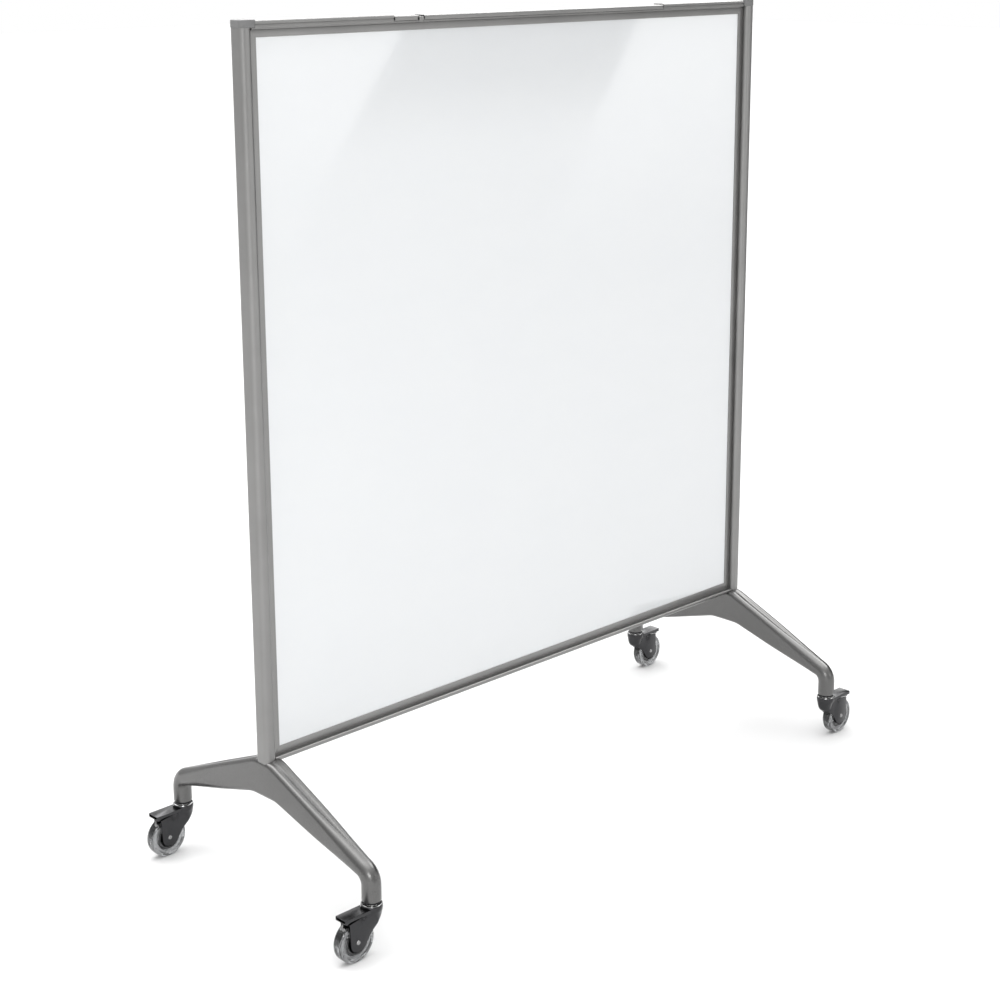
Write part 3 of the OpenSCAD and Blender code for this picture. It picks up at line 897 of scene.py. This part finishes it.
def lever_end(v, z):
    return lever_high[0] - (clamp_z1 - z) * LEVER_SLOPE


bar = Shape()
bar.prism(clamp_profile, rail_place, bar_low[0], bar_high[0])
bar.prism(clamp_end, rail_place, bar_low[0], bar_low[0] + 1.5)
bar.prism(clamp_end, rail_place, bar_high[0] - 1.5, bar_high[0])
make("clamp_bar_profile", bar, "pad_clamp", [M["silver_x"]], ["clamp_bar"])
lever = Shape()
lever.prism(clamp_profile, rail_place, lever_low[0], lever_end)
lever.prism(clamp_end, rail_place, lever_low[0], lever_low[0] + 1.5)
lever.prism(clamp_end, rail_place, lambda v, z: lever_end(v, z) - 1.5, lever_end)
make("clamp_lever_profile", lever, "pad_clamp", [M["silver_x"]], ["clamp_lever"])

# ---- CAD parts that keep their own shape ----

KEPT = {"panel_core": "core", "front_skin": "white", "rear_skin": "white", "corner_keys": "steel",
        "foot_bolts": "bolt", "caster_stems": "steel", "swivel_bearings": "steel",
        "clamp_shaft": "steel", "clamp_grip": "rubber"}
for node, key in KEPT.items():
    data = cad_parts[node].data
    data.materials.clear()
    data.materials.append(M[key])

# ---- Floor, light and camera ----


def stage_plane(name, size, location, mat):
    mesh = bpy.data.meshes.new(name)
    h = size / 2
    mesh.from_pydata([(-h, -h, 0), (h, -h, 0), (h, h, 0), (-h, h, 0)], [], [(0, 1, 2, 3)])
    mesh.materials.append(mat)
    plane = bpy.data.objects.new(name, mesh)
    plane.location = location
    bpy.context.scene.collection.objects.link(plane)
    return plane


floor_mat, _, _ = new_material("pale_floor", Base_Color=(0.74, 0.74, 0.74, 1), Roughness=0.9)
stage_plane("floor", 60, (0, 0, 0), floor_mat)


def studio_world():
    """White backdrop for the camera; a bright ceiling and two soft side glows light the object."""
    world = bpy.data.worlds.new("studio")
    world.use_nodes = True
    tree = world.node_tree
    coord = tree.nodes.new("ShaderNodeTexCoord")

    def lobe(direction, stops):
        dot = tree.nodes.new("ShaderNodeVectorMath")
        dot.operation = "DOT_PRODUCT"
        dot.inputs[1].default_value = direction
        tree.links.new(coord.outputs["Generated"], dot.inputs[0])
        return ramp(tree, dot.outputs["Value"], stops)

    def add(a, b):
        mix = tree.nodes.new("ShaderNodeMix")
        mix.data_type = "RGBA"
        mix.blend_type = "ADD"
        mix.inputs["Factor"].default_value = 1.0
        tree.links.new(a, mix.inputs[6])
        tree.links.new(b, mix.inputs[7])
        return mix.outputs[2]

    ceiling = lobe((0, 0, 1), [(0.0, 0.14), (0.45, 0.155), (0.8, 0.34), (0.95, 0.82), (1.0, 0.85)])
    near_side = lobe((-0.7, -0.7, 0.1), [(0.75, 0.0), (1.0, 0.12)])
    far_side = lobe((0.86, 0.5, 0.05), [(0.80, 0.0), (1.0, 0.35)])
    sky = tree.nodes["Background"]
    sky.inputs["Strength"].default_value = 4.0
    tree.links.new(add(add(ceiling, near_side), far_side), sky.inputs["Color"])
    backdrop = tree.nodes.new("ShaderNodeBackground")
    backdrop.inputs["Color"].default_value = (1, 1, 1, 1)
    backdrop.inputs["Strength"].default_value = 1.0
    switch = tree.nodes.new("ShaderNodeMixShader")
    path = tree.nodes.new("ShaderNodeLightPath")
    tree.links.new(path.outputs["Is Camera Ray"], switch.inputs["Fac"])
    tree.links.new(sky.outputs[0], switch.inputs[1])
    tree.links.new(backdrop.outputs[0], switch.inputs[2])
    tree.links.new(switch.outputs[0], tree.nodes["World Output"].inputs["Surface"])
    bpy.context.scene.world = world


studio_world()


def softbox(name, corners, strength, low, high):
    """A glowing card that only reflections see, fading out towards its lower edge."""
    mat = bpy.data.materials.new(name)
    mat.use_nodes = True
    tree = mat.node_tree
    tree.nodes.clear()
    coord = tree.nodes.new("ShaderNodeTexCoord")
    split = tree.nodes.new("ShaderNodeSeparateXYZ")
    tree.links.new(coord.outputs["Object"], split.inputs[0])
    fade = tree.nodes.new("ShaderNodeMapRange")
    fade.interpolation_type = "SMOOTHSTEP"
    fade.inputs["From Min"].default_value = low
    fade.inputs["From Max"].default_value = high
    tree.links.new(split.outputs["Z"], fade.inputs["Value"])
    glow = tree.nodes.new("ShaderNodeEmission")
    glow.inputs["Strength"].default_value = strength
    clear = tree.nodes.new("ShaderNodeBsdfTransparent")
    mix = tree.nodes.new("ShaderNodeMixShader")
    tree.links.new(fade.outputs["Result"], mix.inputs["Fac"])
    tree.links.new(clear.outputs[0], mix.inputs[1])
    tree.links.new(glow.outputs[0], mix.inputs[2])
    out = tree.nodes.new("ShaderNodeOutputMaterial")
    tree.links.new(mix.outputs[0], out.inputs["Surface"])
    mesh = bpy.data.meshes.new(name)
    mesh.from_pydata(corners, [], [(0, 1, 2, 3)])
    mesh.materials.append(mat)
    card = bpy.data.objects.new(name, mesh)
    card.visible_camera = False
    card.visible_diffuse = False
    card.visible_shadow = False
    card.visible_transmission = False
    bpy.context.scene.collection.objects.link(card)


BOX_Y = -4.0
softbox("softbox_left", [(1.0, BOX_Y, 0.1), (2.3, BOX_Y, 0.1), (3.85, BOX_Y, 2.2),
                         (1.0, BOX_Y, 2.2)], 1.9, 0.2, 1.3)
softbox("softbox_right", [(4.03, BOX_Y, 0.1), (9.0, BOX_Y, 0.1), (9.0, BOX_Y, 2.2),
                          (5.38, BOX_Y, 2.2)], 1.9, 0.0, 1.3)
softbox("flag_gap", [(2.3, BOX_Y, 0.1), (4.03, BOX_Y, 0.1), (5.38, BOX_Y, 2.2),
                     (3.85, BOX_Y, 2.2)], 0.0, 0.75, 1.2)
CARD_Z = 4.2
CARD_IN = 2.2
CARD_X1 = 5.5
CARD_Y1 = 6.0
CARD_GLOW = 5.5
NO_FADE = (-1.0, -0.5)
softbox("softbox_back", [(-4.0, CARD_IN, CARD_Z), (CARD_X1, CARD_IN, CARD_Z),
                         (CARD_X1, CARD_Y1, CARD_Z), (-4.0, CARD_Y1, CARD_Z)], CARD_GLOW,
        *NO_FADE)
softbox("softbox_side", [(CARD_IN, -2.5, CARD_Z), (CARD_X1, -2.5, CARD_Z),
                         (CARD_X1, CARD_IN, CARD_Z), (CARD_IN, CARD_IN, CARD_Z)], CARD_GLOW,
        *NO_FADE)
softbox("flag_side", [(3.5, -1.8, 0.05), (3.5, 1.5, 0.05), (3.5, 1.5, 2.6),
                      (3.5, -1.8, 2.6)], 0.0, *NO_FADE)


def area_light(name, location, target, size, power):
    light = bpy.data.lights.new(name, "AREA")
    light.shape = "RECTANGLE"
    light.size, light.size_y = size
    light.energy = power
    lamp = bpy.data.objects.new(name, light)
    lamp.location = location
    aim = Vector(target) - Vector(location)
    lamp.rotation_euler = aim.to_track_quat("-Z", "Y").to_euler()
    lamp.visible_camera = False
    bpy.context.scene.collection.objects.link(lamp)


area_light("key", (-1.5, 1.5, 4.5), (0, 0, 0), (2.0, 2.0), 40)
area_light("pool", (-3.6, -3.6, 2.3), (-3.6, -3.6, 0.0), (2.0, 2.0), 110)

CAM_POS = (-2665.0, -2657.7, 1761.0)
CAM_YAW = 0.7736
CAM_PITCH = 0.2378
CAM_ROLL = 0.0043
CAM_FOCAL = 1.914
CAM_SHIFT_Y = -0.10
camera_data = bpy.data.cameras.new("camera")
camera_data.sensor_width = 36
camera_data.lens = CAM_FOCAL * 36
camera_data.shift_y = CAM_SHIFT_Y
camera = bpy.data.objects.new("camera", camera_data)
look = Vector((math.sin(CAM_YAW) * math.cos(CAM_PITCH), math.cos(CAM_YAW) * math.cos(CAM_PITCH),
               -math.sin(CAM_PITCH)))
camera.rotation_mode = "QUATERNION"
camera.rotation_quaternion = look.to_track_quat("-Z", "Y") @ Matrix.Rotation(
    -CAM_ROLL, 3, "Z").to_quaternion()
camera.location = Vector(CAM_POS) * MM
bpy.context.scene.collection.objects.link(camera)
bpy.context.scene.camera = camera
bpy.context.scene.view_settings.view_transform = "Standard"
bpy.context.scene.view_settings.look = "None"
